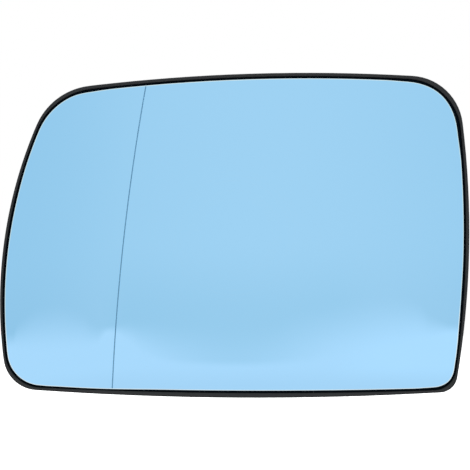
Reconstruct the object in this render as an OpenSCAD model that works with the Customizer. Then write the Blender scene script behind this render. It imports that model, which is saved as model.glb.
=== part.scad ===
// Door mirror glass: a blue-tinted aspheric mirror with a heater mat, bonded into a moulded
// holder that clips onto the mirror motor.
// Millimetres. X runs right and Z runs up as the driver sees the glass, which faces -Y.
// The origin is on the axis of the clip ring, halfway along the tips of its hooks.

/* [Holder outline] */
// Top left corner point, to the left of the clip axis
top_left_x = 71.1; // [60:0.1:90]
// Top left corner point, above the clip axis
top_left_z = 56.8; // [48:0.1:75]
// Top right corner point, to the right of the clip axis
top_right_x = 86.8; // [70:0.1:110]
// Top right corner point, above the clip axis
top_right_z = 61.4; // [48:0.1:75]
// Bottom right corner point, to the right of the clip axis
bottom_right_x = 86.3; // [70:0.1:110]
// Bottom right corner point, below the clip axis
bottom_right_z = 61.2; // [56:0.1:75]
// Bottom left corner point, to the left of the clip axis
bottom_left_x = 88.8; // [70:0.1:110]
// Bottom left corner point, below the clip axis
bottom_left_z = 59.8; // [56:0.1:75]
// How far the top edge bows outwards between its corner points
top_bow = 4.3; // [2.5:0.1:9]
// How far the right edge bows outwards
right_bow = 5.4; // [3:0.1:10]
// How far the bottom edge bows outwards
bottom_bow = 3; // [2:0.1:8]
// How far the left edge bows outwards
left_bow = 10.2; // [4:0.1:14]
// Radius of the top left corner
top_left_r = 25.5; // [10:0.5:35]
// Radius of the top right corner
top_right_r = 21; // [10:0.5:35]
// Radius of the bottom right corner
bottom_right_r = 7; // [6:0.5:25]
// Radius of the bottom left corner
bottom_left_r = 13.5; // [8:0.5:30]
// Radius of the mirror face's bottom right corner, rounder than the holder's
face_bottom_right_r = 8.3; // [6:0.1:25]

/* [Black border] */
// Width of the black border between the silhouette and the mirror face, along the top
border_top = 2.05; // [1.4:0.05:4]
// Width of the black border at the ends of the right edge
border_right = 1.5; // [1.3:0.05:4]
// Width of the black border at the ends of the bottom edge
border_bottom = 1.6; // [1.3:0.05:4]
// Width of the black border at the ends of the left edge
border_left = 1.5; // [1.3:0.05:4]
// Bow of the glass along the right edge, less than the holder's
glass_right_bow = 4.8; // [1:0.1:10]
// Bow of the glass along the bottom edge, less than the holder's
glass_bottom_bow = 2; // [0.5:0.1:8]
// How much less than the holder the glass bows along the left edge
glass_left_less = 0.3; // [0:0.1:1]
// Ground edge of the glass, dull and dark, beside the mirror face
arris = 0.6; // [0.2:0.05:0.8]
// Gap between the glass and the holder's rim
glass_gap = 0.15; // [0.05:0.05:0.3]
// How far the rim stands in front of the glass
rim_proud = 0.6; // [0.2:0.1:1.5]
// Rounding of the rim's outer front edge
rim_ease = 0.3; // [0.1:0.05:0.45]

/* [Mirror face] */
// Thickness of the glass
glass_t = 2; // [1.5:0.1:3]
// Radius of the convex main face
main_radius = 1400; // [900:50:2400]
// Radius of the tighter aspheric face at the outer end
outer_radius = 550; // [350:10:850]
// Distance of the dividing line from the clip axis
line_reach = 43; // [25:0.5:55]
// Lean of the dividing line from upright
line_lean = 6.7; // [0:0.1:12]
// Radius of the dividing line's slight bend
line_radius = 900; // [400:50:3000]
// Width of the etched dividing line
line_w = 0.4; // [0.2:0.05:1]
// Depth of the etched dividing line
line_depth = 0.1; // [0.05:0.05:0.3]

/* [Heater mat] */
// Thickness of the adhesive sheet behind the glass
glass_glue_t = 0.3; // [0.25:0.05:0.6]
// Thickness of each heater film
film_t = 0.15; // [0.1:0.05:0.3]
// Thickness of the conductor between the films
track_t = 0.1; // [0.1:0.05:0.2]
// Width of the conductor
track_w = 1.6; // [1:0.1:3]
// Rows of the conductor on each half, an even number
track_rows = 14; // [8:2:18]
// Margin of the heater mat inside the glass edge
mat_margin = 3; // [1:0.5:8]
// Thickness of the foam adhesive in front of the holder
foam_t = 0.6; // [0.4:0.1:1.5]

/* [Holder] */
// Thickness of the holder's floor
floor_t = 2; // [1.4:0.1:3]
// Width of every stiffening rib
rib_w = 1.2; // [0.8:0.1:2]
// Height of the ribs outside the clip ring
rib_h = 1.8; // [1:0.1:3]
// Distance of the edge rib from the silhouette
edge_rib_inset = 5; // [3:0.5:8]
// Spokes around the clip ring, a multiple of four
spokes = 12; // [12:4:24]
// Radius of the rib hoop outside the clip ring
hoop_r = 53; // [50:1:60]
// Radius of the round pads on the hoop, which the ejector pins push on
pad_r = 2.2; // [1.5:0.1:3]

/* [Clip ring] */
// Inner radius of the clip ring's guide wall
ring_r = 30; // [26:0.5:34]
// How far each hook's tip stands in from the ring wall
hook_reach = 0.8; // [0.4:0.1:1.2]
// Thickness of the ring wall
ring_wall = 1.8; // [1.2:0.1:2.5]
// Snap fingers, with as many guide walls between them
fingers = 6; // [4:1:8]
// Width of each snap finger along the ring
finger_w = 14; // [8:0.5:16]
// Width of the slot on each side of a finger
slot_w = 2; // [1:0.1:3]
// Length of the hook tips along the axis
hook_land = 1.2; // [0.8:0.1:2]
// Length of the lead-in behind the hook tips
lead_in = 1.6; // [1:0.1:3]
// Thickness of the motor's disc, between the hooks and the inner ribs
disc_t = 3; // [2:0.1:5]
// Height of the inner ribs that the motor's disc sits on
seat_h = 3; // [1.5:0.1:5]
// Radius of the hub at the middle of the ring
hub_r = 6; // [3:0.5:9]
// Length of the gusset behind each guide wall
gusset_l = 7; // [3:0.5:10]
// Width of the gussets
gusset_w = 1; // [0.6:0.1:1.1]

/* [Terminals] */
// Distance of each terminal from the middle, sideways
tab_x = 12; // [9:0.5:16]
// Distance of each terminal below the clip axis
tab_z = 43.5; // [41:0.5:44]
// Width of the spade terminal
tab_w = 6.3; // [4.8:0.1:7]
// Thickness of the terminal's metal
tab_t = 0.8; // [0.5:0.1:0.9]
// Length of the spade behind the holder's floor
tab_l = 8; // [6:0.5:12]
// Width of the terminal's foot on the heater
foot_w = 8; // [7:0.5:9]
// Length of the terminal's foot on the heater
foot_l = 9; // [8:0.5:10]
// Clear space around the foot in the holder's window
window_gap = 1; // [0.5:0.1:1.5]
// Wall of the collar around the window
collar_wall = 1; // [0.8:0.1:1.4]
// Height of the collar behind the floor
collar_h = 2.5; // [2:0.1:5]
// Shank radius of the hollow rivet
rivet_r = 1.2; // [0.9:0.1:1.5]
// Head radius of the hollow rivet
rivet_head_r = 2.1; // [1.8:0.1:2.6]

/* [Hidden] */
$fn = 96;

// Facets of the wide mirror arcs, which are nearly flat
dish_fn = 1440;
// Straight steps along each corner and each edge of an outline
corner_steps = 14;
edge_steps = 16;
// Steps that round the rim's outer front edge
rim_steps = 3;
// Clear space past a surface that a cut runs through
through = 1;
// The aspheric face lies this much behind the main face where they meet, in the etched line
line_step = 0.02;

// The layers, as depths behind the mirror face
glass_back = glass_t;
film_front = glass_back + glass_glue_t;
track_front = film_front + film_t;
cover_front = track_front + track_t;
foam_front = cover_front + film_t;
floor_front = foam_front + foam_t;
floor_back = floor_front + floor_t;

// Places along Y
seat_y = -hook_land / 2 - disc_t;
floor_y = seat_y - seat_h;
glass_y = floor_y - floor_back;
finger_y = hook_land / 2 + lead_in;
guide_y = -hook_land / 2 - disc_t / 3;

// The outline's corner points, clockwise from the top left as the driver sees them
corners = [[-top_left_x, top_left_z], [top_right_x, top_right_z],
    [bottom_right_x, -bottom_right_z], [-bottom_left_x, -bottom_left_z]];
holder_bows = [top_bow, right_bow, bottom_bow, left_bow];
glass_bows = [top_bow, glass_right_bow, glass_bottom_bow, left_bow - glass_left_less];
corner_radii = [top_left_r, top_right_r, bottom_right_r, bottom_left_r];
face_radii = [top_left_r, top_right_r, face_bottom_right_r, bottom_left_r];
borders = [border_top, border_right, border_bottom, border_left];

// The dish covers the whole outline
reach = max([for (p = corners) norm(p)]) + max(holder_bows);
line_angle = asin(line_reach / main_radius);
side_angle = asin(reach / main_radius);
outer_centre = (main_radius - outer_radius - line_step) * [cos(line_angle), -sin(line_angle)];
slab_front = glass_y - rim_proud - through;
slab_back = glass_y + floor_back + reach * reach / outer_radius + collar_h;

// The heater mat and the foam inside the glass edge
rivet_clear = 0.05;
rivet_bore_r = rivet_r * 0.6;
rivet_head_t = 0.6;
flange_t = glass_glue_t - 0.05;
rivet_drop = 1.5;
spade_hole_r = 0.85;
spade_nose = 1.2;
foam_margin = mat_margin + 1;
track_margin = mat_margin + 2;

// The clip ring's sectors
pitch_angle = 360 / fingers;
finger_angle = finger_w / ring_r * 180 / PI;
slot_angle = slot_w / ring_r * 180 / PI;
guide_angle = pitch_angle - finger_angle - 2 * slot_angle;
ring_back_r = ring_r + ring_wall;
mouth_r = ring_r - hook_reach;

function direction(angle) = [cos(angle), sin(angle)];

function heading(v) = atan2(v[1], v[0]);

// How far the mirror face lies behind its middle, at a distance from the clip axis
function dish_drop(r) = main_radius - sqrt(main_radius * main_radius - r * r);

// An edge is the circle through two corner points with the given bow, moved in by the inset
function edge_radius(p, q, bow) = let (half = norm(q - p) / 2) (half * half + bow * bow) / (2 * bow);

function edge_centre(p, q, bow) =
    let (along = (q - p) / norm(q - p), out = [-along[1], along[0]])
    (p + q) / 2 + out * (bow - edge_radius(p, q, bow));

// Where two circles cross, at the crossing nearer to a point
function crossing(c0, r0, c1, r1, near) =
    let (
        gap = norm(c1 - c0),
        a = (r0 * r0 - r1 * r1 + gap * gap) / (2 * gap),
        h = sqrt(max(r0 * r0 - a * a, 0)),
        along = (c1 - c0) / gap,
        across = [-along[1], along[0]],
        one = c0 + a * along + h * across,
        two = c0 + a * along - h * across
    )
    norm(one - near) < norm(two - near) ? one : two;

function clockwise(from, to) = (from - to + 720) % 360;

// Points of a clockwise arc
function arc(centre, r, from, sweep, steps, first, last) =
    [for (k = [first:last]) centre + r * direction(from - sweep * k / steps)];

// A rounded four-sided outline with bowed edges: each corner's arc touches both of its edges
function outline(bows, insets, radii) =
    let (
        centres = [for (i = [0:3]) edge_centre(corners[i], corners[(i + 1) % 4], bows[i])],
        sizes = [for (i = [0:3]) edge_radius(corners[i], corners[(i + 1) % 4], bows[i]) - insets[i]],
        rounds = [for (i = [0:3])
            let (j = (i + 3) % 4)
            crossing(centres[j], sizes[j] - radii[i], centres[i], sizes[i] - radii[i], corners[i])]
    )
    [for (i = [0:3])
        let (
            start = heading(rounds[i] - centres[(i + 3) % 4]),
            turn = heading(rounds[i] - centres[i]),
            stop = heading(rounds[(i + 1) % 4] - centres[i])
        )
        each concat(
            arc(rounds[i], radii[i], start, clockwise(start, turn), corner_steps, 0, corner_steps),
            arc(centres[i], sizes[i], turn, clockwise(turn, stop), edge_steps, 1, edge_steps - 1)
        )
    ];

// The silhouette, moved in
function holder_outline(inset) =
    outline(holder_bows, [for (i = [0:3]) inset], [for (r = corner_radii) r - inset]);

// The glass edge, moved in
function glass_outline(inset) =
    outline(glass_bows, [for (b = borders) b - arris + inset], [for (r = face_radii) r + arris - inset]);

// The outline's leftmost (side -1) or rightmost (side 1) place at a height
function side_at(points, z, side) =
    let (
        n = len(points),
        hits = [for (i = [0:n - 1])
            let (p = points[i], q = points[(i + 1) % n])
            if ((p[1] - z) * (q[1] - z) <= 0 && p[1] != q[1])
                p[0] + (q[0] - p[0]) * (z - p[1]) / (q[1] - p[1])]
    )
    side < 0 ? min(hits) : max(hits);

// A flat shape in the XZ plane, extruded along Y
module slab(front, back) {
    translate([0, back, 0]) rotate([90, 0, 0]) linear_extrude(back - front) children();
}

// All that lies behind a depth, in the half plane through the dish axis: a disc, cut back past the
// dividing line by a smaller disc that touches it there
module behind_2d(depth) {
    difference() {
        circle(main_radius - depth, $fn = dish_fn);
        difference() {
            polygon([[0, 0], [0, -2 * main_radius], 2 * main_radius * [cos(line_angle), -sin(line_angle)]]);
            translate(outer_centre) circle(outer_radius - depth, $fn = dish_fn);
        }
    }
}

// The mirror's curved sheet between two depths: a sphere that runs on smoothly into a tighter torus
module dish(front, back) {
    translate([0, glass_y + main_radius, 0])
        rotate([0, line_lean, 0]) rotate([-90, 0, 0]) rotate([0, 90, 0]) rotate([0, 0, -side_angle])
            rotate_extrude(angle = 2 * side_angle, $fn = dish_fn) intersection() {
                difference() {
                    behind_2d(front);
                    behind_2d(back);
                }
                translate([main_radius - reach, -reach]) square(2 * reach);
            }
}

// A flat shape, cut from the curved sheet between two depths
module dished(front, back) {
    intersection() {
        slab(slab_front, slab_back) children();
        dish(front, back);
    }
}

// Puts a flat shape at the left terminal (side -1) or the right one (side 1)
module at_foot(side) {
    translate([side * tab_x, -tab_z]) children();
}

module at_rivet(side) {
    at_foot(side) translate([0, -rivet_drop]) children();
}

module at_both_feet() {
    at_foot(-1) children();
    at_foot(1) children();
}

module at_both_rivets() {
    at_rivet(-1) children();
    at_rivet(1) children();
}

module ring_2d(inner, outer) {
    difference() {
        circle(outer);
        circle(inner);
    }
}

// A part turned about the clip axis from a profile of radius and Y
module turned(angle, middle) {
    rotate([-90, 0, 0]) rotate([0, 0, middle - angle / 2]) rotate_extrude(angle = angle) children();
}

module mirror_glass() {
    color("#9bd0f0") difference() {
        dished(0, glass_back) polygon(glass_outline(0));
        dished(-through, line_depth)
            rotate(-line_lean) translate([line_radius - line_reach, 0])
                difference() {
                    circle(line_radius + line_w / 2, $fn = dish_fn);
                    circle(line_radius - line_w / 2, $fn = dish_fn);
                }
    }
}

// The clear sheet has a hole round each rivet's flange
module glass_adhesive() {
    color("#e8e4d8") dished(glass_back, film_front) difference() {
        polygon(glass_outline(mat_margin));
        at_both_rivets() circle(rivet_head_r + rivet_clear);
    }
}

module heater_film() {
    color("#c98b35") dished(film_front, track_front) difference() {
        polygon(glass_outline(mat_margin));
        at_both_rivets() circle(rivet_r + rivet_clear);
    }
}

// The conductor's heights and turning places on the right half, from the foot up to the top row
track_top = top_left_z - border_top - track_margin - track_w;
track_low = -tab_z - foot_l;
row_z = [for (k = [0:track_rows - 1]) track_low + k * (track_top - track_low) / (track_rows - 1)];
foot_side = tab_x + foot_w / 2 + 2 * track_w;
foot_top = foot_l / 2 - tab_z + 2 * track_w;

// Where row k turns up to the next one: in turn near the edge and near the middle
function turn_x(limits, side, k) =
    k % 2 == 1 ? (row_z[k] < foot_top ? foot_side : 2 * track_w)
    : min([for (z = [row_z[k], row_z[k + 1]]) abs(side_at(limits, z, side))]) - track_w / 2;

function track_half(limits, side) = concat(
    [[side * tab_x, -tab_z], [side * tab_x, row_z[0]]],
    [for (k = [0:track_rows - 2])
        let (x = side * turn_x(limits, side, k))
        each [[x, row_z[k]], [x, row_z[k + 1]]]]
);

function backwards(list) = [for (i = [len(list) - 1:-1:0]) list[i]];

function side_normal(p, q) = let (along = (q - p) / norm(q - p)) [-along[1], along[0]];

// One side of a ribbon of even width along a path, with square corners
function ribbon_side(path, shift) =
    let (last = len(path) - 1)
    [for (i = [0:last])
        let (
            before = side_normal(path[max(i - 1, 0)], path[max(i, 1)]),
            after = side_normal(path[min(i, last - 1)], path[min(i + 1, last)])
        )
        path[i] + shift * (before + after) / (1 + before * after)];

function ribbon(path, width) = concat(ribbon_side(path, width / 2), backwards(ribbon_side(path, -width / 2)));

// A foil path from foot to foot: up the left half, across the top row and down the right half
module heater_track() {
    limits = glass_outline(track_margin);
    path = concat(track_half(limits, -1), backwards(track_half(limits, 1)));
    color("#b9bcc0") difference() {
        union() {
            dished(track_front, cover_front) polygon(ribbon(path, track_w));
            dished(track_front, cover_front) at_both_feet() square([foot_w, foot_l], center = true);
        }
        slab(slab_front, slab_back) at_both_rivets() circle(rivet_r + rivet_clear);
    }
}

module heater_cover() {
    color("#d49a45") dished(cover_front, foam_front) difference() {
        polygon(glass_outline(mat_margin));
        at_both_feet() square([foot_w, foot_l] + [1, 1] * window_gap, center = true);
    }
}

module holder_adhesive() {
    color("#e9e9e6") dished(foam_front, floor_front) difference() {
        polygon(glass_outline(foam_margin));
        at_both_feet() square([foot_w, foot_l] + [2, 2] * window_gap, center = true);
    }
}

// The ribs behind the floor: spokes, a hoop with its ejector pads and a rib along the edge
module back_ribs_2d() {
    difference() {
        intersection() {
            polygon(holder_outline(edge_rib_inset));
            union() {
                for (k = [0:spokes - 1])
                    rotate(k * 360 / spokes) translate([ring_r, -rib_w / 2]) square([reach, rib_w]);
                ring_2d(hoop_r - rib_w / 2, hoop_r + rib_w / 2);
                for (k = [0:fingers - 1])
                    rotate((k + 0.5) * pitch_angle) translate([hoop_r, 0]) circle(pad_r);
                difference() {
                    polygon(holder_outline(edge_rib_inset));
                    polygon(holder_outline(edge_rib_inset + rib_w));
                }
            }
        }
        circle(ring_r + ring_wall / 2);
    }
}

// The flat-topped ribs inside the clip ring, which the motor's disc sits on
module seat_ribs_2d() {
    for (k = [0:fingers - 1])
        rotate((k + 0.5) * pitch_angle) translate([0, -rib_w / 2]) square([ring_r + ring_wall / 2, rib_w]);
    for (part = [1, 2]) {
        hoop = hub_r + (ring_r - hub_r) * part / 3;
        ring_2d(hoop - rib_w / 2, hoop + rib_w / 2);
    }
    circle(hub_r);
}

module finger_profile(root_y) {
    polygon([[ring_r, root_y], [ring_r, -hook_land / 2], [mouth_r, -hook_land / 2], [mouth_r, hook_land / 2],
        [ring_r + ring_wall / 3, finger_y], [ring_back_r, finger_y], [ring_back_r, root_y]]);
}

module guide_profile(root_y) {
    ease = ring_wall / 3;
    polygon([[ring_r, root_y], [ring_r, guide_y - ease], [ring_r + ease, guide_y],
        [ring_back_r, guide_y], [ring_back_r, root_y]]);
}

// A thin web behind a guide wall, sloping down to the floor
module gusset(root_y) {
    start = ring_r + ring_wall / 2;
    top_y = guide_y - ring_wall / 2;
    translate([0, gusset_w / 2, 0]) rotate([90, 0, 0]) linear_extrude(gusset_w)
        polygon([[start, root_y], [start, top_y], [ring_back_r, top_y], [ring_back_r + gusset_l, root_y]]);
}

// Snap fingers and guide walls by turns, with a slot on each side of a finger
module clip_ring() {
    root_y = glass_y + floor_front + floor_t / 2 + dish_drop(ring_r);
    for (k = [0:fingers - 1]) {
        turned(finger_angle, k * pitch_angle) finger_profile(root_y);
        turned(guide_angle, (k + 0.5) * pitch_angle) guide_profile(root_y);
        rotate([-90, 0, 0]) rotate([0, 0, (k + 0.5) * pitch_angle]) gusset(root_y);
    }
}

// Each hook is moulded through an opening in the floor under it
module hook_openings() {
    for (k = [0:fingers - 1])
        turned(finger_angle, k * pitch_angle)
            translate([mouth_r - slot_w / 2, glass_y + floor_front - through])
                square([ring_r - mouth_r + slot_w / 2, floor_t + 2 * through + dish_drop(ring_r)]);
}

// The holder's outside: its floor and rim as one block, whose outer front edge is rounded in steps
module shell() {
    dished(rim_ease - rim_proud, floor_back) polygon(holder_outline(0));
    for (k = [1:rim_steps]) {
        angle = 90 * k / rim_steps;
        dished(rim_ease * (1 - sin(angle)) - rim_proud, floor_front)
            polygon(holder_outline(rim_ease * (1 - cos(angle))));
    }
}

module holder_plate() {
    window = [foot_w, foot_l] + [2, 2] * window_gap;
    collar = window + [2, 2] * collar_wall;
    color("#1d1d1f") difference() {
        union() {
            difference() {
                shell();
                dished(-rim_proud - through, floor_front) polygon(glass_outline(-glass_gap));
            }
            dished(floor_front + floor_t / 2, floor_back + rib_h) back_ribs_2d();
            dished(floor_front + floor_t / 2, floor_back + collar_h)
                at_both_feet() square(collar, center = true);
            slab(floor_y - floor_t / 2, seat_y) seat_ribs_2d();
            clip_ring();
        }
        hook_openings();
        slab(slab_front, slab_back) at_both_feet() square(window, center = true);
    }
}

// A spade that stands up behind the floor from a foot on the conductor
module terminal(side) {
    root_y = glass_y + cover_front + tab_t / 2 + dish_drop(norm([tab_x, tab_z]));
    tip_y = floor_y + dish_drop(norm([tab_x, tab_z])) + tab_l;
    color("#c9c7c0") {
        dished(cover_front, cover_front + tab_t) difference() {
            at_foot(side) square([foot_w, foot_l], center = true);
            at_rivet(side) circle(rivet_r + rivet_clear);
        }
        translate([side * tab_x, 0, foot_l / 2 - tab_z - tab_t]) linear_extrude(tab_t) difference() {
            polygon([[-tab_w / 2, root_y], [-tab_w / 2, tip_y - spade_nose], [spade_nose - tab_w / 2, tip_y],
                [tab_w / 2 - spade_nose, tip_y], [tab_w / 2, tip_y - spade_nose], [tab_w / 2, root_y]]);
            translate([0, tip_y - tab_l / 2 + spade_nose / 2]) circle(spade_hole_r);
        }
    }
}

module terminal_left() {
    terminal(-1);
}

module terminal_right() {
    terminal(1);
}

// A hollow rivet through the film, the conductor and the terminal's foot
module rivet(side) {
    head_front = cover_front + tab_t;
    head_back = head_front + rivet_head_t;
    color("#b08d57") difference() {
        union() {
            dished(film_front - flange_t, film_front) at_rivet(side) circle(rivet_head_r);
            dished(film_front - flange_t, head_back) at_rivet(side) circle(rivet_r);
            dished(head_front, head_back) at_rivet(side) circle(rivet_head_r);
        }
        slab(slab_front, slab_back) at_rivet(side) circle(rivet_bore_r);
    }
}

module rivet_left() {
    rivet(-1);
}

module rivet_right() {
    rivet(1);
}

mirror_glass();
glass_adhesive();
heater_film();
heater_track();
heater_cover();
holder_adhesive();
holder_plate();
terminal_left();
terminal_right();
rivet_left();
rivet_right();
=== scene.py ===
import bmesh
import bpy
import math
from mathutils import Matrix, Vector


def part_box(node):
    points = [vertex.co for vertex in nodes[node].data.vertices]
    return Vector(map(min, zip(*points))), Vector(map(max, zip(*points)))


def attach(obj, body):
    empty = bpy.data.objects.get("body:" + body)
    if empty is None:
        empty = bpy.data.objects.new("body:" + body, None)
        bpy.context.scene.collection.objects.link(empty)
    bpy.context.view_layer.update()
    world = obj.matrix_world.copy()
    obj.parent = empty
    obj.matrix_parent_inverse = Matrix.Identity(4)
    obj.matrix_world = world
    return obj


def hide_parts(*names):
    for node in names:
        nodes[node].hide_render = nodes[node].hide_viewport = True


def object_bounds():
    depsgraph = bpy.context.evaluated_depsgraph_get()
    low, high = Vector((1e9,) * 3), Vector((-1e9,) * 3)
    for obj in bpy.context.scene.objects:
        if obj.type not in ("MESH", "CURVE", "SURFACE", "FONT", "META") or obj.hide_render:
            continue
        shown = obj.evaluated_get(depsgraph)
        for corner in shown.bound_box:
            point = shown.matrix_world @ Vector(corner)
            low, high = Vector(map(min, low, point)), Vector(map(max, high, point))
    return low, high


# Looks of a door mirror glass: the coated glass, its moulded holder and the heater behind it.
# Metres, in the part's own frame: X runs right, Z runs up and the glass faces -Y.
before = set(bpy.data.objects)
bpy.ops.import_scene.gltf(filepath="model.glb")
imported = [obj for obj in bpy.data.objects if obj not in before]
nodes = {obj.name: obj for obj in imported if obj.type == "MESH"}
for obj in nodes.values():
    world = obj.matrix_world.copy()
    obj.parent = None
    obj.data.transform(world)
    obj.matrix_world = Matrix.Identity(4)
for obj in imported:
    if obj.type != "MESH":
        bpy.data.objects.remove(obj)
cad_low, cad_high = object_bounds()
glass_low, glass_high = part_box("mirror_glass")

MM = 0.001

# The photograph: its width in pixels, the real size of a pixel and the pixel of the clip axis
PHOTO_WIDTH = 470
PIXEL = 0.3919 * MM
AXIS_PIXEL = (234.7, 235.5)
CAMERA_DISTANCE = 2.0
CAMERA_CLIP = (0.01, 100)
SENSOR = 36.0

# The mirror's face: a sphere that runs on smoothly into a tighter torus past the dividing line
MAIN_RADIUS = 1400 * MM
OUTER_RADIUS = 550 * MM
# The dividing line: its distance from the clip axis, its lean and its bend, and the groove etched along it
LINE_REACH = 43 * MM
LINE_LEAN = math.radians(6.7)
LINE_RADIUS = 900 * MM
LINE_WIDTH = 0.42 * MM
LINE_SHOULDER = 0.1 * MM
LINE_DEPTH = 0.08 * MM

# The edge of the glass, from the face outwards: a polished facet, a ground arris, the wall and the back
FACET = 0.26 * MM
FACET_DROP = 0.035 * MM
# The arris is drawn wide here and at the spots below: with its near-black finish, part of that width is
# painted shade of the gap under the bead
ARRIS = 0.75 * MM
ARRIS_DROP = 0.45 * MM
GLASS_DEPTH = 2 * MM
BACK_EASE = 0.2 * MM
# Where the hand-ground arris is wider or narrower, in millimetres: place (x, z), extra width and reach
ARRIS_SPOTS = (((89.3, 43.5), 0.5, 16), ((70.5, 62.5), 0.27, 12), ((-57, 58.8), 0.27, 9),
               ((-81.8, 31), -0.08, 20), ((-54, -61.5), -0.34, 29), ((20, -63.3), 0.1, 60),
               ((79.5, -61.5), 0.27, 9), ((86.4, -59.2), -0.18, 5), ((88.4, -46), -0.16, 12),
               ((90.4, -24.5), 0.13, 18))
# How finely the meshes are divided: rings over the face and the back, steps along an outline and the line
FACE_RINGS = 36
BACK_RINGS = 12
LOOP_STEP = 1.2 * MM
LINE_STEP = 1.5 * MM

# The CAD rim: how far its top and the edge of its outer wall stand before the mirror's face
CAD_RIM_PROUD = 0.6 * MM
CAD_WALL_PROUD = 0.3 * MM
# The rounded bead over that rim: how far its crown and its feet stand before the face, how far it lies
# outside the rim's walls, to which depths it runs down them, and its section, where 2 is round
BEAD_CROWN = 0.62 * MM
BEAD_FOOT = 0.05 * MM
BEAD_OVER = 0.02 * MM
BEAD_OUTER_REACH = 1.8 * MM
BEAD_INNER_REACH = 1.2 * MM
BEAD_SQUARENESS = 2.3
BEAD_STEPS = 14
# How far the plain rim is lowered under the bead
RIM_SUNK = 0.5 * MM

# Reading the CAD meshes: joining split corners, the least gap between an outline's points, the slack of
# its depth, and the tilt and the height that make a face a wall
JOIN_DISTANCE = 0.002 * MM
POINT_GAP = 0.1 * MM
DEPTH_SLACK = 0.03 * MM
WALL_TILT = 0.3
WALL_DEPTH = 0.4 * MM
# Rounding them: the angles below which a bend is flat, is no corner and still looks smooth, the widths and
# steps of the roundings, and how much large faces outweigh small ones, where 50 is even
FLAT_ANGLE = math.radians(0.2)
CORNER_ANGLE = math.radians(32)
SHARP_ANGLE = math.radians(50)
HOLDER_ROUND = 0.16 * MM
METAL_ROUND = 0.12 * MM
ROUND_STEPS = 2
LARGE_FACE_WEIGHT = 75

LEAN_COS, LEAN_SIN = math.cos(LINE_LEAN), math.sin(LINE_LEAN)
LINE_ANGLE = math.asin(LINE_REACH / MAIN_RADIUS)
DISH_CENTRE_Y = glass_low.y + MAIN_RADIUS
OUTER_SHIFT = (MAIN_RADIUS - OUTER_RADIUS) * math.sin(LINE_ANGLE)
OUTER_LIFT = (MAIN_RADIUS - OUTER_RADIUS) * math.cos(LINE_ANGLE)


# The mirror's curved face

def leaning(x, z):
    """The place along and across the dish's own axis, which leans with the dividing line."""
    return x * LEAN_COS - z * LEAN_SIN, x * LEAN_SIN + z * LEAN_COS


def upright(a, b):
    """The place (x, z) of a place that is given along and across the dish's axis."""
    return a * LEAN_COS + b * LEAN_SIN, b * LEAN_COS - a * LEAN_SIN


def profile(a, depth):
    """The dish's distance from its own axis at a, and how fast its square's half grows with a."""
    main, outer = MAIN_RADIUS - depth, OUTER_RADIUS - depth
    if a > -main * math.sin(LINE_ANGLE):
        return math.sqrt(main * main - a * a), -a
    lift = math.sqrt(outer * outer - (a + OUTER_SHIFT) ** 2)
    radius = OUTER_LIFT + lift
    return radius, -radius * (a + OUTER_SHIFT) / lift


def dish_y(x, z, depth=0.0):
    """Y of the sheet that lies depth behind the mirror's face."""
    a, b = leaning(x, z)
    radius, _ = profile(a, depth)
    return DISH_CENTRE_Y - math.sqrt(radius * radius - b * b)


def dish_point(x, z, depth=0.0):
    return Vector((x, dish_y(x, z, depth), z))


def dish_normal(x, z):
    """The face's outward direction, towards the driver."""
    a, b = leaning(x, z)
    radius, growth = profile(a, 0.0)
    nx, nz = upright(-growth, b)
    return Vector((nx, -math.sqrt(radius * radius - b * b), nz)).normalized()


def depth_of(point):
    """How far a point lies behind the mirror's face."""
    a, b = leaning(point.x, point.z)
    out = math.hypot(b, DISH_CENTRE_Y - point.y)
    if a > -LINE_REACH:
        return MAIN_RADIUS - math.hypot(a, out)
    return OUTER_RADIUS - math.hypot(a + OUTER_SHIFT, out - OUTER_LIFT)


def line_offset(point):
    """Distance of a point (x, z) past the dividing line, towards the outer end."""
    a, b = leaning(*point)
    return math.hypot(a - (LINE_RADIUS - LINE_REACH), b) - LINE_RADIUS


def line_point(offset, b):
    """The point (x, z) beside the dividing line at height b along it."""
    a = LINE_RADIUS - LINE_REACH - math.sqrt((LINE_RADIUS + offset) ** 2 - b * b)
    return Vector(upright(a, b))


# Outlines, read from the CAD nodes as loops of (x, z) that run anticlockwise

def merged(node):
    """A CAD node's mesh with its split corners joined."""
    mesh = bmesh.new()
    mesh.from_mesh(nodes[node].data)
    bmesh.ops.remove_doubles(mesh, verts=mesh.verts, dist=JOIN_DISTANCE)
    mesh.verts.index_update()
    return mesh


def is_wall(face):
    """Whether a face stands up from the curved sheets, and is no mere step between two of them."""
    depths = [depth_of(vertex.co) for vertex in face.verts]
    return abs(face.normal.y) < WALL_TILT and max(depths) - min(depths) > WALL_DEPTH


def outline(node, depth, outward=True):
    """The closed edge of a node's outer or inner wall, at a depth behind the mirror's face."""
    mesh = merged(node)
    corners = set()
    for edge in mesh.edges:
        walls = [face for face in edge.link_faces if is_wall(face)]
        if len(walls) == 1 and all(abs(depth_of(vertex.co) - depth) < DEPTH_SLACK for vertex in edge.verts):
            place = edge.verts[0].co
            if (place.x * walls[0].normal.x + place.z * walls[0].normal.z > 0) == outward:
                corners.update(edge.verts)
    points = [Vector((vertex.co.x, vertex.co.z)) for vertex in corners]
    mesh.free()
    points.sort(key=lambda point: math.atan2(point.y, point.x))
    return [point for i, point in enumerate(points) if (point - points[i - 1]).length > POINT_GAP]


def tangents(loop):
    """The direction of the smooth closed curve through the points, at each of them."""
    made = []
    for i, here in enumerate(loop):
        back, on = here - loop[i - 1], loop[(i + 1) % len(loop)] - here
        way = back * on.length / back.length + on * back.length / on.length
        made.append(way / (back.length + on.length))
    return made


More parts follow.
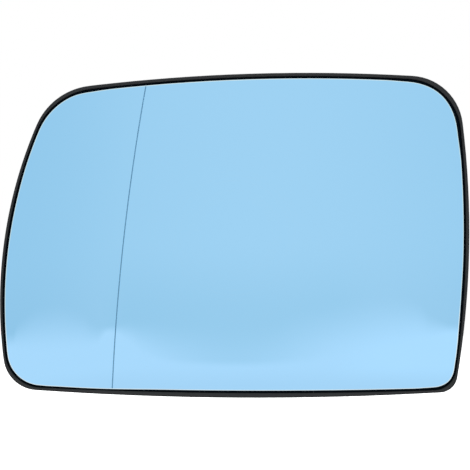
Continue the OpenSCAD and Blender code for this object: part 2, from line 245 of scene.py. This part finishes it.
def smoothed(loop, step):
    """The smooth closed curve through the points, with a point about every step."""
    ways = tangents(loop)
    points = []
    for i, here in enumerate(loop):
        j = (i + 1) % len(loop)
        span = (loop[j] - here).length
        count = max(1, round(span / step))
        for k in range(count):
            # A cubic curve that leaves and meets the points in their own directions
            t = k / count
            points.append((2 * t ** 3 - 3 * t ** 2 + 1) * here + (t ** 3 - 2 * t ** 2 + t) * span * ways[i]
                          + (3 * t ** 2 - 2 * t ** 3) * loop[j] + (t ** 3 - t ** 2) * span * ways[j])
    return points


def inwards(loop):
    """The unit direction into the loop at each of its points."""
    return [Vector((-way.y, way.x)).normalized() for way in tangents(loop)]


def distance_to(loop, point):
    """Distance from a point to a closed polyline."""
    best = math.inf
    for i, end in enumerate(loop):
        start = loop[i - 1]
        along = end - start
        share = min(1.0, max(0.0, (point - start).dot(along) / along.length_squared))
        best = min(best, (point - start - share * along).length)
    return best


# Mesh making

class Sheet:
    """A mesh in the making: points, faces and the zone of each face."""

    def __init__(self):
        self.points, self.faces, self.zones = [], [], []

    def add(self, point):
        """Adds a point and gives its number."""
        self.points.append(point)
        return len(self.points) - 1

    def face(self, corners, zone):
        self.faces.append(corners)
        self.zones.append(zone)

    def strip(self, one, two, zone, closed=False):
        """Faces between two rows of points."""
        for i in range(0 if closed else 1, len(one)):
            self.face([one[i - 1], one[i], two[i], two[i - 1]], zone)

    def fill(self, loop, rings, depth, zone):
        """Rings of faces from a loop to its middle, on the curved sheet at a depth."""
        middle = sum((self.points[i] for i in loop), Vector()) / len(loop)
        outer = loop
        for k in range(1, rings):
            share = 1 - k / rings
            inner = []
            for i in loop:
                place = middle.lerp(self.points[i], share)
                inner.append(self.add(dish_point(place.x, place.z, depth)))
            self.strip(outer, inner, zone, closed=True)
            outer = inner
        tip = self.add(dish_point(middle.x, middle.z, depth))
        for i in range(len(outer)):
            self.face([outer[i - 1], outer[i], tip], zone)

    def mesh(self, name):
        """The Blender mesh, smooth within each zone, with its faces turned outwards."""
        made = bpy.data.meshes.new(name)
        made.from_pydata(self.points, [], self.faces)
        made.polygons.foreach_set("material_index", self.zones)
        made.polygons.foreach_set("use_smooth", [True] * len(self.faces))
        turned = bmesh.new()
        turned.from_mesh(made)
        bmesh.ops.recalc_face_normals(turned, faces=turned.faces)
        for edge in turned.edges:
            zones = {face.material_index for face in edge.link_faces}
            edge.smooth = len(zones) == 1 and edge.calc_face_angle(0) < CORNER_ANGLE
        turned.to_mesh(made)
        turned.free()
        return made


def piece(name, mesh, materials):
    """A new piece of the part, with the given finishes in its slots, attached to the part's root."""
    made = bpy.data.objects.new(name, mesh)
    bpy.context.scene.collection.objects.link(made)
    for finish in materials:
        mesh.materials.append(finish)
    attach(made, "root")
    return made


# The glass

FACE_ZONE, FACET_ZONE, GROUND_ZONE, LINE_ZONE = range(4)

# The four edges of the dividing line's groove, from the main face outwards: offset and depth of each
GROOVE_EDGE = LINE_WIDTH / 2
GROOVE_BED = GROOVE_EDGE - LINE_SHOULDER
GROOVE_OFFSETS = (-GROOVE_EDGE, -GROOVE_BED, GROOVE_BED, GROOVE_EDGE)
GROOVE_DEPTHS = (0.0, LINE_DEPTH, LINE_DEPTH, 0.0)
MAIN_EDGE, OUTER_EDGE = 0, 3


def with_crossings(loop):
    """The loop with a point wherever it crosses an edge of the groove, and the numbers of those points."""
    made, found = [], {}
    for i, end in enumerate(loop):
        start = loop[i - 1]
        low, high = line_offset(start), line_offset(end)
        gaps = {k: abs(offset - low) for k, offset in enumerate(GROOVE_OFFSETS)
                if (offset - low) * (offset - high) < 0}
        for k in sorted(gaps, key=gaps.get):
            made.append(start.lerp(end, gaps[k] / abs(high - low)))
            found[k, high > low] = len(made) - 1
        if not -GROOVE_EDGE < high < GROOVE_EDGE:
            made.append(end)
    return made, found


def walk(count, start, stop):
    """Numbers round a closed loop, from start to stop."""
    return [(start + k) % count for k in range((stop - start) % count + 1)]


def arris_width(point):
    """Width of the ground arris beside a point (x, z)."""
    width = ARRIS
    for place, extra, reach in ARRIS_SPOTS:
        away = min(1.0, (point - MM * Vector(place)).length / (reach * MM))
        width += extra * MM * (1 + math.cos(math.pi * away)) / 2
    return width


def groove(sheet, rim, found):
    """Makes the dividing line's groove, and gives the rows of points along its edges, from the top down."""
    rows = []
    for k, offset in enumerate(GROOVE_OFFSETS):
        # Going round anticlockwise, the loop crosses the line outwards at the top and back at the bottom
        top, bottom = rim[found[k, True]], rim[found[k, False]]
        high, low = (leaning(sheet.points[i].x, sheet.points[i].z)[1] for i in (top, bottom))
        steps = round((high - low) / LINE_STEP)
        heights = [high + (low - high) * j / steps for j in range(1, steps)]
        inner = [sheet.add(dish_point(*line_point(offset, height), GROOVE_DEPTHS[k])) for height in heights]
        rows.append([top] + inner + [bottom])
    for one, two in zip(rows, rows[1:]):
        sheet.strip(one, two, LINE_ZONE)
    return rows


def edge_and_back(sheet, face, rim):
    """Makes the edge of the glass, from the face outwards and back, and its back."""
    # Each row: its share of the arris, how far it lies back inwards, its depth and the zone before it
    rows = ((0, 0.0, FACET_DROP, FACET_ZONE), (1, 0.0, FACET_DROP + ARRIS_DROP, GROUND_ZONE),
            (1, 0.0, GLASS_DEPTH - BACK_EASE, GROUND_ZONE), (1, BACK_EASE, GLASS_DEPTH, GROUND_ZONE))
    ways = inwards(face)
    last = rim
    for share, back, depth, zone in rows:
        row = []
        for point, way in zip(face, ways):
            out = FACET + share * arris_width(point) - back
            row.append(sheet.add(dish_point(*(point - out * way), depth)))
        sheet.strip(last, row, zone, closed=True)
        last = row
    sheet.fill(last, BACK_RINGS, GLASS_DEPTH, GROUND_ZONE)


def set_face_normals(mesh):
    """Gives the face its exact directions from the dish, so that its reflections are smooth."""
    normals = [corner.vector.copy() for corner in mesh.corner_normals]
    for polygon in mesh.polygons:
        if polygon.material_index == FACE_ZONE:
            for i in polygon.loop_indices:
                place = mesh.vertices[mesh.loops[i].vertex_index].co
                normals[i] = dish_normal(place.x, place.z)
    mesh.normals_split_custom_set(normals)


def glass_mesh():
    """The glass: a face on each side of the dividing line's groove, the ground edge and the back."""
    edge = smoothed(outline("mirror_glass", GLASS_DEPTH), LOOP_STEP)
    inner = [point + (FACET + arris_width(point)) * way for point, way in zip(edge, inwards(edge))]
    face, found = with_crossings(inner)
    depths = {i: GROOVE_DEPTHS[k] for (k, _), i in found.items()}
    sheet = Sheet()
    rim = [sheet.add(dish_point(*point, depths.get(i, 0.0))) for i, point in enumerate(face)]
    rows = groove(sheet, rim, found)
    outer = [rim[i] for i in walk(len(rim), found[OUTER_EDGE, True], found[OUTER_EDGE, False])]
    main = [rim[i] for i in walk(len(rim), found[MAIN_EDGE, False], found[MAIN_EDGE, True])]
    sheet.fill(outer + rows[OUTER_EDGE][-2:0:-1], FACE_RINGS, 0.0, FACE_ZONE)
    sheet.fill(main + rows[MAIN_EDGE][1:-1], FACE_RINGS, 0.0, FACE_ZONE)
    edge_and_back(sheet, face, rim)
    mesh = sheet.mesh("glass")
    set_face_normals(mesh)
    return mesh


# The holder

def rounded(mesh, width):
    """Rounds every corner of a joined CAD mesh."""
    bmesh.ops.dissolve_limit(mesh, angle_limit=FLAT_ANGLE, verts=mesh.verts, edges=mesh.edges)
    corners = [edge for edge in mesh.edges if edge.calc_face_angle(0) > CORNER_ANGLE]
    bmesh.ops.bevel(mesh, geom=corners, offset=width, offset_type="OFFSET", segments=ROUND_STEPS, profile=0.5,
                    affect="EDGES", clamp_overlap=True)
    for face in mesh.faces:
        face.smooth = True
    for edge in mesh.edges:
        edge.smooth = edge.calc_face_angle(0) < SHARP_ANGLE


def sink_rim(mesh):
    """Lowers what stands well before the bead's feet, so that the bead covers it."""
    for vertex in mesh.verts:
        if depth_of(vertex.co) < -2 * BEAD_FOOT:
            vertex.co.y += RIM_SUNK


def weighted(made):
    """Keeps flat faces flat beside their rounded edges."""
    even = made.modifiers.new("even", "WEIGHTED_NORMAL")
    even.keep_sharp = True
    even.weight = LARGE_FACE_WEIGHT


def rounded_copy(node, width, finish, under_bead=False):
    """A copy of a CAD node with rounded edges, which stands for it."""
    mesh = merged(node)
    if under_bead:
        sink_rim(mesh)
    rounded(mesh, width)
    data = bpy.data.meshes.new(node + "_rounded")
    mesh.to_mesh(data)
    mesh.free()
    made = piece(node + "_rounded", data, [finish])
    weighted(made)
    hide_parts(node)


def bead_section(width):
    """The bead's section over a rim of a width, from outside inwards: distances inwards and depths."""
    power = 2 / BEAD_SQUARENESS
    half = width / 2
    section = [(-BEAD_OVER, BEAD_OUTER_REACH)]
    for k in range(BEAD_STEPS + 1):
        angle = math.pi * k / BEAD_STEPS
        across = math.copysign(abs(math.cos(angle)) ** power, math.cos(angle))
        height = math.sin(angle) ** power if 0 < k < BEAD_STEPS else 0.0
        section.append((half - (half + BEAD_OVER) * across, -BEAD_FOOT - (BEAD_CROWN - BEAD_FOOT) * height))
    section.append((width + BEAD_OVER, BEAD_INNER_REACH))
    return section


def bead_mesh():
    """The bead that runs round the glass, between the holder's silhouette and the rim's inner wall."""
    silhouette = smoothed(outline("holder_plate", -CAD_WALL_PROUD), LOOP_STEP)
    inner = outline("holder_plate", -CAD_RIM_PROUD, outward=False)
    sheet = Sheet()
    rows = []
    for point, way in zip(silhouette, inwards(silhouette)):
        row = []
        for across, depth in bead_section(distance_to(inner, point)):
            place = point + across * way
            row.append(sheet.add(dish_point(place.x, place.y, depth)))
        rows.append(row + row[:1])
    for i, row in enumerate(rows):
        sheet.strip(rows[i - 1], row, 0)
    return sheet.mesh("rim")


# Shader nodes

WHITE = (1, 1, 1, 1)
# The mix node's colour sockets, which share their names with its other sockets
MIX_ONE, MIX_TWO, MIX_RESULT = 6, 7, 2
# Most of a noise lies between these values
NOISE_RANGE = (0.3, 0.7)


def link(tree, value, socket):
    """Sets a socket to a number or colour, or joins another socket to it."""
    if isinstance(value, bpy.types.NodeSocket):
        tree.links.new(value, socket)
    else:
        socket.default_value = value


def add(tree, kind, inputs=(), **settings):
    """A new node with its settings and its inputs."""
    made = tree.nodes.new(kind)
    for name, value in settings.items():
        setattr(made, name, value)
    for name, value in dict(inputs).items():
        link(tree, value, made.inputs[name])
    return made


def sums(tree, operation, *values):
    """The result of an operation on one, two or three numbers."""
    return add(tree, "ShaderNodeMath", dict(enumerate(values)), operation=operation).outputs[0]


def mapped(tree, value, start, end, low=0.0, high=1.0, shape="LINEAR"):
    """Runs from low to high as value goes from start to end, and stays there past them."""
    inputs = {"Value": value, "From Min": start, "From Max": end, "To Min": low, "To Max": high}
    return add(tree, "ShaderNodeMapRange", inputs, interpolation_type=shape).outputs["Result"]


def swept(tree, value, start, end, low=0.0, high=1.0):
    """The same with a soft start and a soft end."""
    return mapped(tree, value, start, end, low, high, "SMOOTHSTEP")


def bulge(tree, value, middle, half_width, rise):
    """A smooth rise round a middle value, and nothing past its half width."""
    away = sums(tree, "ABSOLUTE", sums(tree, "SUBTRACT", value, middle))
    return swept(tree, away, 0.0, half_width, rise, 0.0)


def blended(tree, share, one, two):
    """A colour between two, by the share of the second."""
    made = add(tree, "ShaderNodeMix", {"Factor": share}, data_type="RGBA")
    link(tree, one, made.inputs[MIX_ONE])
    link(tree, two, made.inputs[MIX_TWO])
    return made.outputs[MIX_RESULT]


def scaled(tree, colour, factor):
    inputs = {0: colour, "Scale": factor}
    return add(tree, "ShaderNodeVectorMath", inputs, operation="SCALE").outputs["Vector"]


def own_space(tree):
    """The place on the part, in its own space."""
    return add(tree, "ShaderNodeTexCoord").outputs["Object"]


def noise(tree, size, detail=2.0, stretch=(1, 1, 1)):
    """Noise in the part's own space, with features about as large as size."""
    place = add(tree, "ShaderNodeMapping", {"Vector": own_space(tree), "Scale": stretch}).outputs["Vector"]
    made = add(tree, "ShaderNodeTexNoise", {"Vector": place, "Scale": 1 / size, "Detail": detail})
    return made.outputs["Fac"]


def cells(tree, size):
    """Cells in the part's own space, about as large as size: 0 in their middles and more at their walls."""
    made = add(tree, "ShaderNodeTexVoronoi", {"Vector": own_space(tree), "Scale": 1 / size})
    return made.outputs["Distance"]


def uneven(tree, share, low, high):
    """A number that a noise takes from low to high."""
    return swept(tree, share, *NOISE_RANGE, low, high)


def bumped(tree, height, distance, strength=1.0):
    inputs = {"Height": height, "Distance": distance, "Strength": strength}
    return add(tree, "ShaderNodeBump", inputs).outputs["Normal"]


# Materials

def material(name, **settings):
    """A new material with a Principled shader, and its node tree."""
    made = bpy.data.materials.new(name)
    made.use_nodes = True
    tree = made.node_tree
    shader = tree.nodes["Principled BSDF"]
    for socket, value in settings.items():
        link(tree, value, shader.inputs[socket.replace("_", " ")])
    return made, tree, shader


def coloured(tree, shader, share, dark, light):
    """Varies the shader's colour between two."""
    link(tree, blended(tree, share, dark, light), shader.inputs["Base Color"])


def grained(tree, shader, grain, height, strength):
    """Gives the shader a fine relief of a height."""
    link(tree, bumped(tree, grain, height, strength), shader.inputs["Normal"])


def mirror_coating():
    """Blue coating behind clear glass, with the faint slow ripple of pressed glass."""
    made, tree, shader = material("mirror_coating", Metallic=1.0, Roughness=0.012, Coat_Weight=1.0,
                                  Coat_Roughness=0.0, Coat_IOR=1.52)
    patches = noise(tree, size=60 * MM, detail=1.0)
    coloured(tree, shader, patches, dark=(0.386, 0.683, 0.955, 1), light=(0.393, 0.690, 0.962, 1))
    ripple = bumped(tree, noise(tree, size=26 * MM, detail=0.0), distance=0.006 * MM)
    link(tree, ripple, shader.inputs["Normal"])
    link(tree, ripple, shader.inputs["Coat Normal"])
    return made


def polished_edge():
    """The thin polished facet round the face, which catches white light."""
    made, tree, shader = material("polished_edge", Metallic=1.0, Roughness=0.08)
    patches = noise(tree, size=5 * MM)
    coloured(tree, shader, patches, dark=(0.72, 0.9, 0.99, 1), light=(0.85, 0.97, 1.0, 1))
    return made


def ground_edge_and_painted_shade():
    """Ground glass, near black partly because it shows the black holder through itself and partly as painted
    shade of the narrow gap under the bead.
    """
    made, tree, shader = material("ground_edge_and_painted_shade", Roughness=0.42, Specular_IOR_Level=0.03)
    patches = noise(tree, size=0.6 * MM)
    # Near-black colour: the black holder seen through the glass, and painted shade of the gap under the bead
    coloured(tree, shader, patches, dark=(0.001, 0.003, 0.006, 1), light=(0.003, 0.007, 0.012, 1))
    grained(tree, shader, noise(tree, size=0.12 * MM), height=0.01 * MM, strength=0.4)
    return made


def etched_line():
    """The etched groove of the dividing line, dull and darker than the coating."""
    made, tree, shader = material("etched_line", Metallic=0.6, Roughness=0.5)
    patches = noise(tree, size=0.5 * MM)
    coloured(tree, shader, patches, dark=(0.13, 0.33, 0.52, 1), light=(0.17, 0.38, 0.58, 1))
    grained(tree, shader, noise(tree, size=0.1 * MM), height=0.01 * MM, strength=0.5)
    return made


def moulded_plastic():
    """Fine-grained black plastic: grain, slow flow marks and uneven gloss."""
    made, tree, shader = material("moulded_plastic", Specular_IOR_Level=0.4)
    flow = noise(tree, size=14 * MM, detail=3.0)
    grain = noise(tree, size=0.32 * MM, detail=3.0)
    coloured(tree, shader, flow, dark=(0.0085, 0.0085, 0.0095, 1), light=(0.013, 0.013, 0.014, 1))
    gloss = sums(tree, "ADD", uneven(tree, flow, 0.3, 0.44), uneven(tree, grain, 0.0, 0.08))
    link(tree, gloss, shader.inputs["Roughness"])
    grained(tree, shader, grain, height=0.02 * MM, strength=0.5)
    return made


def polyester_film():
    """Amber film with a soft shine and slight waves."""
    made, tree, shader = material("polyester_film", Roughness=0.22, Coat_Weight=0.3, Coat_Roughness=0.1)
    patches = noise(tree, size=8 * MM)
    coloured(tree, shader, patches, dark=(0.55, 0.27, 0.06, 1), light=(0.66, 0.36, 0.09, 1))
    grained(tree, shader, noise(tree, size=5 * MM), height=0.02 * MM, strength=0.4)
    return made


def etched_foil():
    """Metal foil with fine rolling marks."""
    made, tree, shader = material("etched_foil", Metallic=1.0)
    patches = noise(tree, size=3 * MM)
    coloured(tree, shader, patches, dark=(0.62, 0.63, 0.65, 1), light=(0.78, 0.79, 0.8, 1))
    marks = noise(tree, size=0.5 * MM, detail=3.0, stretch=(1, 1, 12))
    link(tree, uneven(tree, marks, 0.26, 0.42), shader.inputs["Roughness"])
    return made


def clear_adhesive():
    """Clear adhesive, a little cloudy."""
    made, tree, shader = material("clear_adhesive", Roughness=0.3)
    patches = noise(tree, size=6 * MM)
    coloured(tree, shader, patches, dark=(0.72, 0.7, 0.62, 1), light=(0.82, 0.8, 0.74, 1))
    return made


def foam_tape():
    """White foam, open at its cut edges."""
    made, tree, shader = material("foam_tape", Roughness=0.85, Sheen_Weight=0.2)
    pores_and_painted_shade = cells(tree, size=0.25 * MM)
    # Darker in the pores' middles: painted shade in their hollows
    coloured(tree, shader, pores_and_painted_shade, dark=(0.62, 0.62, 0.6, 1), light=(0.85, 0.85, 0.83, 1))
    grained(tree, shader, pores_and_painted_shade, height=0.06 * MM, strength=0.8)
    return made


def drawn_metal(name, dark, light):
    """Stamped strip: plated, with fine rolling marks along the blade."""
    made, tree, shader = material(name, Metallic=1.0)
    marks = noise(tree, size=0.18 * MM, detail=3.0, stretch=(1, 0.06, 1))
    coloured(tree, shader, noise(tree, size=2.5 * MM), dark, light)
    link(tree, uneven(tree, marks, 0.24, 0.4), shader.inputs["Roughness"])
    grained(tree, shader, marks, height=0.004 * MM, strength=0.5)
    return made


# The studio. A direction that the mirror reflects is given in radians from straight ahead of it, azimuth
# to the right and elevation up, or by its depth, from -1 in front of the mirror to 1 behind it.
# A span is where something starts and where it ends, then its values there if they aren't 0 and 1.

# The room's colour at its sides and in its middle, and that middle's azimuth, half width and share
ROOM_DIM = (0.73, 0.84, 0.862, 1)
ROOM_BRIGHT = (0.86, 0.918, 0.917, 1)
ROOM_MIDDLE = (0.03, 0.3, 1.0)
# Its shade towards the table: over which elevations, its colour in the middle and to either side, and
# over which azimuths that changes
ROOM_SHADE = (0.0, -0.066)
SHADE_MIDDLE = (0.9, 0.94, 0.95, 1)
SHADE_SIDES = (0.96, 0.965, 0.97, 1)
SHADE_SPAN = (0.07, 0.12)

# The table: its white at the far edge and how that rises to the right, then its two colours further down,
# each with the elevations over which it comes in
TABLE_WHITE = (0.988, 1.0, 1.005)
TABLE_RISE = (0.06, 0.12, 1.0, 1.035)
TABLE_MIDDLE = (0.93, 0.945, 0.955, 1)
TABLE_MIDDLE_SPAN = (-0.097, -0.116)
TABLE_NEAR = (0.78, 0.83, 0.86, 1)
TABLE_NEAR_SPAN = (-0.12, -0.8)
# The table's soft far edge: where its light starts and where it is full, as (azimuth, elevation)
TABLE_STARTS = ((-0.252, -0.063), (-0.236, -0.05), (-0.2, -0.043), (-0.148, -0.051), (-0.1, -0.067),
                (-0.075, -0.063), (-0.03, -0.065), (0.015, -0.065), (0.03, -0.062), (0.05, -0.053),
                (0.085, -0.046), (0.11, -0.043), (0.13, -0.044), (0.148, -0.058), (0.163, -0.066))
TABLE_FULL = ((-0.252, -0.075), (-0.235, -0.079), (-0.176, -0.084), (-0.118, -0.083), (-0.099, -0.074),
              (-0.083, -0.08), (-0.064, -0.093), (-0.04, -0.099), (0.05, -0.099), (0.07, -0.095),
              (0.106, -0.09), (0.142, -0.081), (0.163, -0.0745))
# The frame in which those two lines are drawn
AZIMUTHS = (-0.28, 0.18)
ELEVATIONS = (-0.11, -0.04)
# Where most of the brightening comes late: its middle, half width and share, and the late span of the way
LATE_PLACE = (0.0, 0.085, 0.62)
LATE_SPAN = (0.8, 1.0)

# How the surroundings dim from the front to the sides, by depth and by azimuth, and what is added behind
# the part, by depth and by elevation
SIDE_TURN = (-0.7, -0.1, 1.0, 0.45)
SIDE_FALL = (0.4, 1.2, 1.0, 0.68)
REAR_TURN = (0.15, 0.7)
REAR_RISE = (-0.9, 0.4, 0.1, 0.85)
# What lights matt surfaces from all round
AMBIENT = (0.97, 0.985, 1, 1)
AMBIENT_STRENGTH = 0.55


def contour(tree, azimuth, points):
    """The elevation of a line across the reflected surroundings, at each azimuth."""
    curve = add(tree, "ShaderNodeFloatCurve", {"Value": mapped(tree, azimuth, *AZIMUTHS)})
    line = curve.mapping.curves[0]
    # The curve comes with two points. Each new one starts in the middle and gets its place below
    for _ in points[2:]:
        line.points.new(0.5, 0.5)
    for made, (x, y) in zip(line.points, points):
        made.location = ((x - AZIMUTHS[0]) / (AZIMUTHS[1] - AZIMUTHS[0]),
                         (y - ELEVATIONS[0]) / (ELEVATIONS[1] - ELEVATIONS[0]))
    curve.mapping.extend = "HORIZONTAL"
    curve.mapping.update()
    return mapped(tree, curve.outputs["Value"], 0.0, 1.0, *ELEVATIONS)


def reflected_room(tree, azimuth, elevation):
    """A pale room, brightest in the middle and shaded towards the table."""
    room = blended(tree, bulge(tree, azimuth, *ROOM_MIDDLE), ROOM_DIM, ROOM_BRIGHT)
    sideways = swept(tree, sums(tree, "ABSOLUTE", azimuth), *SHADE_SPAN)
    darkest = blended(tree, sideways, SHADE_MIDDLE, SHADE_SIDES)
    shade = blended(tree, swept(tree, elevation, *ROOM_SHADE), WHITE, darkest)
    return add(tree, "ShaderNodeVectorMath", {0: room, 1: shade}, operation="MULTIPLY").outputs["Vector"]


def reflected_table(tree, azimuth, elevation):
    """A white table that dims towards the part."""
    white = scaled(tree, TABLE_WHITE, swept(tree, azimuth, *TABLE_RISE))
    table = blended(tree, swept(tree, elevation, *TABLE_MIDDLE_SPAN), white, TABLE_MIDDLE)
    return blended(tree, swept(tree, elevation, *TABLE_NEAR_SPAN), table, TABLE_NEAR)


def table_share(tree, azimuth, elevation):
    """How much of the table shows in place of the room, over the table's soft uneven far edge."""
    starts, full = contour(tree, azimuth, TABLE_STARTS), contour(tree, azimuth, TABLE_FULL)
    way = mapped(tree, elevation, starts, full)
    late = bulge(tree, azimuth, *LATE_PLACE)
    inputs = {"Factor": late, "A": swept(tree, way, 0.0, 1.0), "B": swept(tree, way, *LATE_SPAN)}
    return add(tree, "ShaderNodeMix", inputs).outputs["Result"]


def surrounding_shade(tree, depth, azimuth, elevation):
    """How bright the surroundings are in front of, beside and behind the part."""
    front = swept(tree, depth, *SIDE_TURN)
    rear = sums(tree, "MULTIPLY", swept(tree, depth, *REAR_TURN), swept(tree, elevation, *REAR_RISE))
    sides = swept(tree, sums(tree, "ABSOLUTE", azimuth), *SIDE_FALL)
    return sums(tree, "MULTIPLY", sums(tree, "ADD", front, rear), sides)


def light_world():
    """White behind the part; in its reflections, a pale room over a white table."""
    world = bpy.data.worlds.new("studio")
    bpy.context.scene.world = world
    world.use_nodes = True
    tree = world.node_tree
    tree.nodes.clear()
    way = add(tree, "ShaderNodeSeparateXYZ", {0: add(tree, "ShaderNodeTexCoord").outputs["Generated"]})
    azimuth = sums(tree, "ARCTAN2", way.outputs["X"], sums(tree, "MULTIPLY", way.outputs["Y"], -1.0))
    elevation = sums(tree, "ARCSINE", way.outputs["Z"])
    seen = blended(tree, table_share(tree, azimuth, elevation), reflected_room(tree, azimuth, elevation),
                   reflected_table(tree, azimuth, elevation))
    seen = scaled(tree, seen, surrounding_shade(tree, way.outputs["Y"], azimuth, elevation))
    path = add(tree, "ShaderNodeLightPath")
    shown = blended(tree, path.outputs["Is Camera Ray"], seen, WHITE)
    background = add(tree, "ShaderNodeBackground", {"Color": shown, "Strength": 1.0})
    ambient = add(tree, "ShaderNodeBackground", {"Color": AMBIENT, "Strength": AMBIENT_STRENGTH})
    # Matt surfaces are lit by the ambient light alone
    mirrored = sums(tree, "MAXIMUM", path.outputs["Is Glossy Ray"], path.outputs["Is Transmission Ray"])
    direct = sums(tree, "MAXIMUM", path.outputs["Is Camera Ray"], mirrored)
    both = add(tree, "ShaderNodeMixShader", {0: direct, 1: ambient.outputs[0], 2: background.outputs[0]})
    add(tree, "ShaderNodeOutputWorld", {"Surface": both.outputs[0]})


# The lamps: name, place, size, power and whether reflections show it
LAMPS = (("top", (-0.15, -0.05, 2.2), 0.5, 25, False),
         ("key", (-0.9, -1.3, 1.2), 1.4, 8, False),
         ("fill", (1.3, -1.1, 0.5), 1.2, 5, False),
         ("back_key", (-0.5, 1.2, 1.3), 1.4, 12, True),
         ("back_fill", (1.4, 1.1, 0.4), 1.0, 6, True))


def lamp(name, place, size, power, mirrored):
    """A square soft lamp that looks at the part."""
    data = bpy.data.lights.new(name, "AREA")
    data.size = size
    data.energy = power
    made = bpy.data.objects.new(name, data)
    bpy.context.scene.collection.objects.link(made)
    made.location = place
    made.rotation_euler = (-Vector(place)).to_track_quat("-Z", "Y").to_euler()
    made.visible_glossy = mirrored
    made.visible_camera = False


# The floor: how far it lies below the part and how far it reaches, its colour, and its glow for the
# camera from the middle outwards
FLOOR_DROP = 0.035
FLOOR_REACH = 3.0
FLOOR_PALE = (0.82, 0.82, 0.82, 1)
FLOOR_GLOW = (0.2, 1.0, 0.04, 0.7)


def floor():
    """A pale floor below the part, which runs out to plain white round the soft shadow."""
    level = cad_low.z - FLOOR_DROP
    corners = [(x * FLOOR_REACH, y * FLOOR_REACH, level) for x, y in ((-1, -1), (1, -1), (1, 1), (-1, 1))]
    mesh = bpy.data.meshes.new("floor")
    mesh.from_pydata(corners, [], [(0, 1, 2, 3)])
    made = bpy.data.objects.new("floor", mesh)
    bpy.context.scene.collection.objects.link(made)
    made.visible_glossy = False
    pale, tree, shader = material("pale_floor", Base_Color=FLOOR_PALE, Roughness=0.9, Specular_IOR_Level=0.1)
    path = add(tree, "ShaderNodeLightPath")
    ends = {0: own_space(tree), 1: (0, 0, level)}
    away = add(tree, "ShaderNodeVectorMath", ends, operation="DISTANCE").outputs["Value"]
    glow = sums(tree, "MULTIPLY", swept(tree, away, *FLOOR_GLOW), path.outputs["Is Camera Ray"])
    lift = add(tree, "ShaderNodeEmission", {"Color": WHITE, "Strength": glow})
    lifted = add(tree, "ShaderNodeAddShader", {0: shader.outputs[0], 1: lift.outputs[0]})
    link(tree, lifted.outputs[0], tree.nodes["Material Output"].inputs["Surface"])
    mesh.materials.append(pale)


def camera():
    """Level with the clip axis, with the photograph's framing."""
    data = bpy.data.cameras.new("camera")
    made = bpy.data.objects.new("camera", data)
    bpy.context.scene.collection.objects.link(made)
    bpy.context.scene.camera = made
    middle = PHOTO_WIDTH / 2
    across, up = (middle - AXIS_PIXEL[0]) * PIXEL, (AXIS_PIXEL[1] - middle) * PIXEL
    aim = Vector((across, (glass_low.y + glass_high.y) / 2, up))
    data.sensor_width = SENSOR
    data.lens = SENSOR * CAMERA_DISTANCE / (PHOTO_WIDTH * PIXEL)
    data.clip_start, data.clip_end = CAMERA_CLIP
    made.location = aim - Vector((0, CAMERA_DISTANCE, 0))
    made.rotation_euler = (math.radians(90), 0, 0)


def dress():
    """Makes the pieces that stand for CAD nodes, and finishes the nodes that stay."""
    coatings = [mirror_coating(), polished_edge(), ground_edge_and_painted_shade(), etched_line()]
    glass = piece("coated_glass", glass_mesh(), coatings)
    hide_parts("mirror_glass")
    plastic = moulded_plastic()
    rounded_copy("holder_plate", HOLDER_ROUND, plastic, under_bead=True)
    piece("holder_rim", bead_mesh(), [plastic])
    tinned = drawn_metal("tinned_strip", dark=(0.5, 0.49, 0.46, 1), light=(0.68, 0.67, 0.63, 1))
    brass = drawn_metal("plain_brass", dark=(0.55, 0.4, 0.16, 1), light=(0.68, 0.52, 0.24, 1))
    for side in ("left", "right"):
        rounded_copy("terminal_" + side, METAL_ROUND, tinned)
        rounded_copy("rivet_" + side, METAL_ROUND, brass)
    film = polyester_film()
    finishes = {"glass_adhesive": clear_adhesive(), "heater_film": film, "heater_track": etched_foil(),
                "heater_cover": film, "holder_adhesive": foam_tape()}
    for node, finish in finishes.items():
        nodes[node].material_slots[0].material = finish


bpy.context.scene.view_settings.view_transform = "Standard"
camera()
light_world()
for settings in LAMPS:
    lamp(*settings)
floor()
dress()
